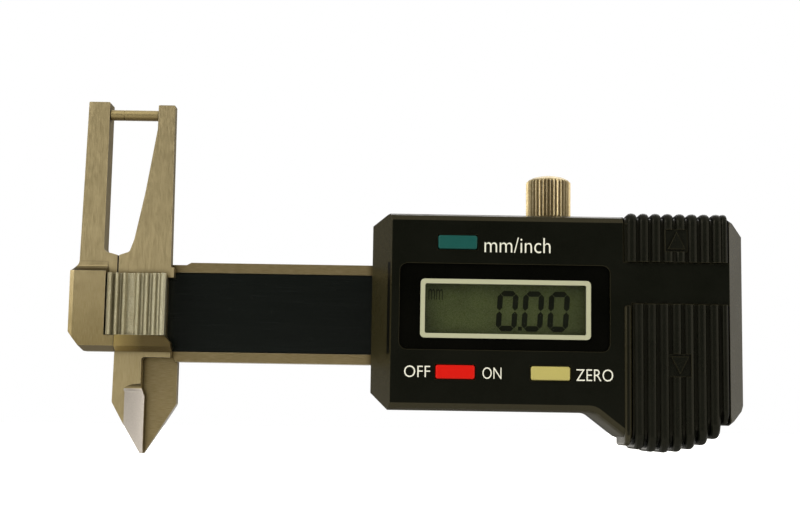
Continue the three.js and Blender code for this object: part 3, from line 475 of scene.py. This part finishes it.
FINISHES = {
    "beam": satin_steel("steel_beam", (0.05, 1, 1), BEAM_STEEL, BEAM_STEEL),
    "fixed_jaw": satin_steel("steel_fixed_jaw", (1, 1, 0.05), ARM_STEEL, BLOCK_STEEL),
    "moving_jaw": satin_steel("steel_moving_jaw", (1, 1, 0.05), ARM_STEEL, KNIFE_STEEL, facet=True),
    "pad": blasted_steel("steel_pad"),
    "ground": ground_steel("steel_ground"),
    "pin": pin_steel("steel_pin"),
    "turned": ground_steel("steel_turned", TURNED_STEEL, 0.32),
    "knurled": knurled_steel("steel_knurled"),
    "brass": brass("brass_machined"),
    "housing": moulded_plastic(
        "plastic_housing", HOUSING_BLACK, HOUSING_EDGE, 0.24, 0.0022, 0.24, recess=True
    ),
    "cover": moulded_plastic("plastic_cover", HOUSING_BLACK, HOUSING_EDGE, 0.26, 0.0022, 0.10),
    "film": printed_film("film_black"),
    "bezel": moulded_plastic("plastic_bezel", (0.305, 0.312, 0.212), (0.40, 0.41, 0.29), 0.4, 0.003),
    "lens": clear_lens("lens_clear"),
    "panel": liquid_crystal("panel_liquid_crystal"),
    "board": board_green("board_solder_mask"),
    "rubber": moulded_plastic("rubber_black", (0.02, 0.02, 0.02), (0.05, 0.05, 0.05), 0.7, 0.02),
    "resin": moulded_plastic("resin_black", (0.012, 0.012, 0.012), (0.03, 0.03, 0.03), 0.25, 0.004),
    "teal": moulded_plastic("plastic_teal", (0.004, 0.052, 0.046), (0.02, 0.12, 0.11), 0.38, 0.003, 0.12),
    "red": moulded_plastic("plastic_red", (0.44, 0.0035, 0.0015), (0.66, 0.03, 0.012), 0.34, 0.003, 0.12),
    "cream": moulded_plastic("plastic_cream", (0.315, 0.278, 0.083), (0.50, 0.45, 0.19), 0.40, 0.003),
}

NODE_FINISH = {
    "frame_beam": "beam",
    "fixed_jaw": "fixed_jaw",
    "fixed_anvil_pin": "pin",
    "fixed_jaw_screw_lower": "turned",
    "fixed_jaw_screw_upper": "turned",
    "housing_front_cover": "housing",
    "housing_back_plate": "cover",
    "housing_screw_upper_left": "turned",
    "housing_screw_lower_left": "turned",
    "housing_screw_upper_right": "turned",
    "housing_screw_lower_right": "turned",
    "display_bezel": "bezel",
    "display_lens": "lens",
    "lcd_panel": "panel",
    "zebra_connector": "rubber",
    "circuit_board": "board",
    "chip_resin_cap": "resin",
    "unit_snap_dome": "ground",
    "power_snap_dome": "ground",
    "zero_snap_dome": "ground",
    "button_cell": "ground",
    "cell_spring_contact": "brass",
    "cell_side_contact": "brass",
    "port_contact_block": "resin",
    "moving_jaw": "moving_jaw",
    "moving_anvil_pin": "pin",
    "thumb_pad": "pad",
    "scale_bar": "beam",
    "scale_cover": "film",
    "slider_screw_lower": "turned",
    "slider_screw_upper": "turned",
    "depth_blade": "beam",
    "blade_rivet": "turned",
    "lock_screw": "knurled",
    "lock_shoe": "brass",
    "unit_button": "teal",
    "power_button": "red",
    "zero_button": "cream",
    "port_cover": "cover",
    "battery_cover": "cover",
}

# Width in millimetres of the softened edge on each visible piece, and on all others.
INNER_EDGE = 0.03
EDGE_WIDTHS = {
    "frame_beam": 0.12,
    "fixed_jaw": 0.16,
    "moving_jaw": 0.12,
    "fixed_anvil_pin": 0.08,
    "moving_anvil_pin": 0.08,
    "thumb_pad": 0.10,
    "scale_bar": 0.06,
    "scale_cover": 0.03,
    "depth_blade": 0.10,
    "housing_front_cover": 0.22,
    "housing_back_plate": 0.35,
    "port_cover": 0.12,
    "battery_cover": 0.12,
    "display_bezel": 0.14,
    "unit_button": 0.12,
    "power_button": 0.12,
    "zero_button": 0.12,
    "lock_screw": 0.06,
}


def soften(piece, width_mm, crease_degrees=24):
    """Rounds a faceted piece's edges with modifiers; its mesh is left as it is."""
    weld = piece.modifiers.new("weld", "WELD")
    weld.merge_threshold = 0.002 * MM
    flat = piece.modifiers.new("flat_faces", "DECIMATE")
    flat.decimate_type = "DISSOLVE"
    flat.angle_limit = math.radians(0.6)
    bevel = piece.modifiers.new("edges", "BEVEL")
    bevel.width = width_mm * MM
    bevel.segments = 3
    bevel.limit_method = "ANGLE"
    bevel.angle_limit = math.radians(crease_degrees)
    bevel.use_clamp_overlap = True
    even = piece.modifiers.new("even_shading", "WEIGHTED_NORMAL")
    even.mode = "FACE_AREA_WITH_ANGLE"
    even.weight = 80


def paint(piece, finish):
    piece.data.materials.clear()
    piece.data.materials.append(finish)


for name, piece in nodes.items():
    paint(piece, FINISHES[NODE_FINISH[name]])
    for polygon in piece.data.polygons:
        polygon.use_smooth = True
    soften(piece, EDGE_WIDTHS.get(name, INNER_EDGE))


# ------------------------------------------------------------------ printed pieces


def flat_piece(name, outlines, front_mm, thickness_mm, finish, body):
    """Thin plates from closed outlines in (x, z) millimetres, standing on the plane y = front."""
    mesh = bmesh.new()
    for outline in outlines:
        front = [mesh.verts.new((x * MM, front_mm * MM, z * MM)) for x, z in outline]
        back = [mesh.verts.new((x * MM, (front_mm + thickness_mm) * MM, z * MM)) for x, z in outline]
        mesh.faces.new(front)
        mesh.faces.new(back[::-1])
        for i in range(len(outline)):
            j = (i + 1) % len(outline)
            mesh.faces.new((front[j], front[i], back[i], back[j]))
    bmesh.ops.recalc_face_normals(mesh, faces=mesh.faces)
    data = bpy.data.meshes.new(name)
    mesh.to_mesh(data)
    mesh.free()
    piece = bpy.data.objects.new(name, data)
    bpy.context.scene.collection.objects.link(piece)
    paint(piece, finish)
    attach(piece, body)
    return piece


# Segments of one digit: (centre x, centre z, upright), the centres in units of half width
# and half height.
SEGMENTS = {
    "top": (0, 1, False),
    "middle": (0, 0, False),
    "bottom": (0, -1, False),
    "upper_left": (-1, 0.5, True),
    "upper_right": (1, 0.5, True),
    "lower_left": (-1, -0.5, True),
    "lower_right": (1, -0.5, True),
}
ZERO = ("top", "bottom", "upper_left", "upper_right", "lower_left", "lower_right")


def segment_outline(centre_x, centre_z, half_width, half_height, segment, slant):
    across, up, upright = SEGMENTS[segment]
    thick = 0.43
    gap = 0.05
    reach = (half_height / 2 if upright else half_width) - gap
    bar = [
        (-reach, 0),
        (-reach + thick, thick),
        (reach - thick, thick),
        (reach, 0),
        (reach - thick, -thick),
        (-reach + thick, -thick),
    ]
    if upright:
        bar = [(z, x) for x, z in bar]
    points = []
    for x, z in bar:
        z += up * half_height
        points.append((centre_x + across * half_width + x + slant * z, centre_z + z))
    return points


def display_reading():
    """The reading 0.00 in slanted seven-segment digits."""
    low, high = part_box("display_bezel")
    centre_z = (low.z + high.z) / 2 / MM - 0.15
    pitch = 4.05
    half_width = 1.22
    half_height = 2.75
    slant = 0.06
    dot_half = 0.3
    last = high.x / MM - 4.85
    outlines = []
    for place in range(3):
        centre_x = last - pitch * (2 - place)
        outlines += [
            segment_outline(centre_x, centre_z, half_width, half_height, segment, slant)
            for segment in ZERO
        ]
    dot_x = last - 1.5 * pitch
    dot_z = centre_z - half_height
    corners = ((-1, -1), (1, -1), (1, 1), (-1, 1))
    outlines.append([(dot_x + x * dot_half, dot_z + z * dot_half) for x, z in corners])
    panel_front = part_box("lcd_panel")[0].y / MM
    flat_piece("display_reading", outlines, panel_front - 0.03, 0.02, INK_LCD, "frame")


LETTER_HALF_THICKNESS = 0.012


def lettering(name, words, left, right, bottom, top, front, finish):
    """Plain sans lettering as a thin plate that fills the given box in millimetres."""
    curve = bpy.data.curves.new(name, "FONT")
    curve.body = words
    curve.extrude = LETTER_HALF_THICKNESS
    curve.offset = -0.008
    curve.resolution_u = 4
    text = bpy.data.objects.new(name + "_curve", curve)
    bpy.context.scene.collection.objects.link(text)
    bpy.context.view_layer.update()
    data = bpy.data.meshes.new_from_object(text.evaluated_get(bpy.context.evaluated_depsgraph_get()))
    data.name = name
    bpy.data.objects.remove(text)
    across = [v.co.x for v in data.vertices]
    up = [v.co.y for v in data.vertices]
    wide = (right - left) / (max(across) - min(across))
    high = (top - bottom) / (max(up) - min(up))
    for v in data.vertices:
        x = left + (v.co.x - min(across)) * wide
        z = bottom + (v.co.y - min(up)) * high
        v.co = Vector((x, front - v.co.z, z)) * MM
    piece = bpy.data.objects.new(name, data)
    bpy.context.scene.collection.objects.link(piece)
    weld = piece.modifiers.new("weld", "WELD")
    weld.merge_threshold = 0.001 * MM
    paint(piece, finish)
    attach(piece, "frame")
    return piece


INK_LCD = printed_ink("ink_display", LCD_INK)
INK = printed_ink("ink_white", INK_WHITE)


def legends():
    edge_rib_height = 0.35  # the housing's box begins at this rib, in front of its flat face
    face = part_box("housing_front_cover")[0].y / MM + edge_rib_height - LETTER_HALF_THICKNESS
    lettering("legend_units", "mm/inch", 58.35, 68.7, 9.62, 12.05, face, INK)
    lettering("legend_off", "OFF", 46.03, 50.07, -10.05, -8.25, face, INK)
    lettering("legend_on", "ON", 58.2, 61.15, -10.15, -8.35, face, INK)
    lettering("legend_zero", "ZERO", 72.75, 78.5, -10.25, -8.4, face, INK)
    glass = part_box("lcd_panel")[0].y / MM - 0.03
    lettering("legend_display_unit", "mm", 49.7, 51.95, 2.2, 3.9, glass, INK_LCD)


display_reading()
legends()


# ------------------------------------------------------------------ stage, light and camera


# Brightness of what the object mirrors on each side of it.
WORLD = {"front": 0.10, "left": 0.42, "right": 1.15, "behind": 0.12}


def stage():
    floor_drop = 42 * MM
    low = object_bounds()[0]
    size = 6.0
    mesh = bpy.data.meshes.new("floor")
    z = low.z - floor_drop
    corners = [(-size, -size, z), (size, -size, z), (size, size, z), (-size, size, z)]
    mesh.from_pydata(corners, [], [(0, 1, 2, 3)])
    floor = bpy.data.objects.new("floor", mesh)
    bpy.context.scene.collection.objects.link(floor)
    f = Finish("floor_pale")
    paper = f.noise(0.02, 4.0)
    pale = f.mix(paper, (0.93, 0.93, 0.92), (0.90, 0.90, 0.89))
    path = f.node("ShaderNodeLightPath")
    f.surface(Base_Color=pale, Roughness=0.9, Emission_Color=(1.0, 1.0, 1.0))
    f.tree.links.new(path.outputs["Is Camera Ray"], f.shader.inputs["Emission Strength"])
    paint(floor, f.material)
    floor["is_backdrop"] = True


def soft_world():
    """White for the camera. What the object mirrors is dim in front, where the viewer stands."""
    world = bpy.data.worlds.new("studio")
    bpy.context.scene.world = world
    world.use_nodes = True
    tree = world.node_tree
    tree.nodes.clear()

    def add(kind, **inputs):
        node = tree.nodes.new(kind)
        for name, value in inputs.items():
            socket = node.inputs[name.replace("_", " ")]
            if isinstance(value, bpy.types.NodeSocket):
                tree.links.new(value, socket)
            else:
                socket.default_value = value
        return node

    def ramp(value, start, stop, low, high):
        node = add("ShaderNodeMapRange", Value=value)
        node.interpolation_type = "SMOOTHSTEP"
        for name, number in (("From Min", start), ("From Max", stop), ("To Min", low), ("To Max", high)):
            if isinstance(number, bpy.types.NodeSocket):
                tree.links.new(number, node.inputs[name])
            else:
                node.inputs[name].default_value = number
        return node.outputs["Result"]

    place = add("ShaderNodeTexCoord")
    split = add("ShaderNodeSeparateXYZ", Vector=place.outputs["Generated"])
    sides = ramp(split.outputs["X"], -0.9, 0.9, WORLD["left"], WORLD["right"])
    front = ramp(split.outputs["Y"], -1.0, -0.55, WORLD["front"], sides)
    around = ramp(split.outputs["Y"], 0.35, 0.9, front, WORLD["behind"])
    height = ramp(split.outputs["Z"], -1.0, 1.0, 0.7, 1.5)
    level = add("ShaderNodeMath")
    level.operation = "MULTIPLY"
    tree.links.new(around, level.inputs[0])
    tree.links.new(height, level.inputs[1])
    lit = add("ShaderNodeBackground", Color=(1.0, 0.97, 0.90, 1), Strength=level.outputs[0])
    seen = add("ShaderNodeBackground", Color=(1, 1, 1, 1))
    path = add("ShaderNodeLightPath")
    mix = add("ShaderNodeMixShader")
    tree.links.new(path.outputs["Is Camera Ray"], mix.inputs[0])
    tree.links.new(lit.outputs[0], mix.inputs[1])
    tree.links.new(seen.outputs[0], mix.inputs[2])
    out = add("ShaderNodeOutputWorld")
    tree.links.new(mix.outputs[0], out.inputs["Surface"])


def softbox(name, place, aim, size, watts, colour=(1, 1, 1)):
    light = bpy.data.lights.new(name, "AREA")
    light.shape = "RECTANGLE"
    light.size, light.size_y = size
    light.energy = watts
    light.color = colour
    lamp = bpy.data.objects.new(name, light)
    bpy.context.scene.collection.objects.link(lamp)
    lamp.location = place
    lamp.rotation_mode = "QUATERNION"
    lamp.rotation_quaternion = (Vector(aim) - Vector(place)).to_track_quat("-Z", "Y")


def camera():
    """The viewer stands in front of the gauge, a little below its middle, and looks slightly up."""
    pitch = math.radians(6.7)
    roll = math.radians(0.92)
    distance = 224.5 * MM
    aim = Vector((45.11, -5.0, 9.73)) * MM
    forward = Vector((0, math.cos(pitch), math.sin(pitch)))
    level_up = Vector((0, -math.sin(pitch), math.cos(pitch)))
    level_right = Vector((1, 0, 0))
    right = math.cos(roll) * level_right + math.sin(roll) * level_up
    up = math.cos(roll) * level_up - math.sin(roll) * level_right
    data = bpy.data.cameras.new("view")
    data.sensor_width = 36
    data.lens = 63
    data.clip_start = 0.01
    data.clip_end = 50
    cam = bpy.data.objects.new("view", data)
    bpy.context.scene.collection.objects.link(cam)
    turn = Matrix((right, up, -forward)).transposed().to_4x4()
    cam.matrix_world = Matrix.Translation(aim - forward * distance) @ turn
    bpy.context.scene.camera = cam


stage()
soft_world()
softbox("key", (-0.42, -0.30, 0.30), (0.04, 0, 0), (0.35, 0.35), 3.6, (1.0, 0.97, 0.90))
softbox("fill", (0.50, -0.35, 0.10), (0.05, 0, 0), (0.30, 0.40), 1.0, (1.0, 0.95, 0.86))
softbox("back", (0.15, 0.45, 0.45), (0.05, 0, 0), (0.50, 0.30), 1.2)
camera()

bpy.context.scene.view_settings.view_transform = "Standard"
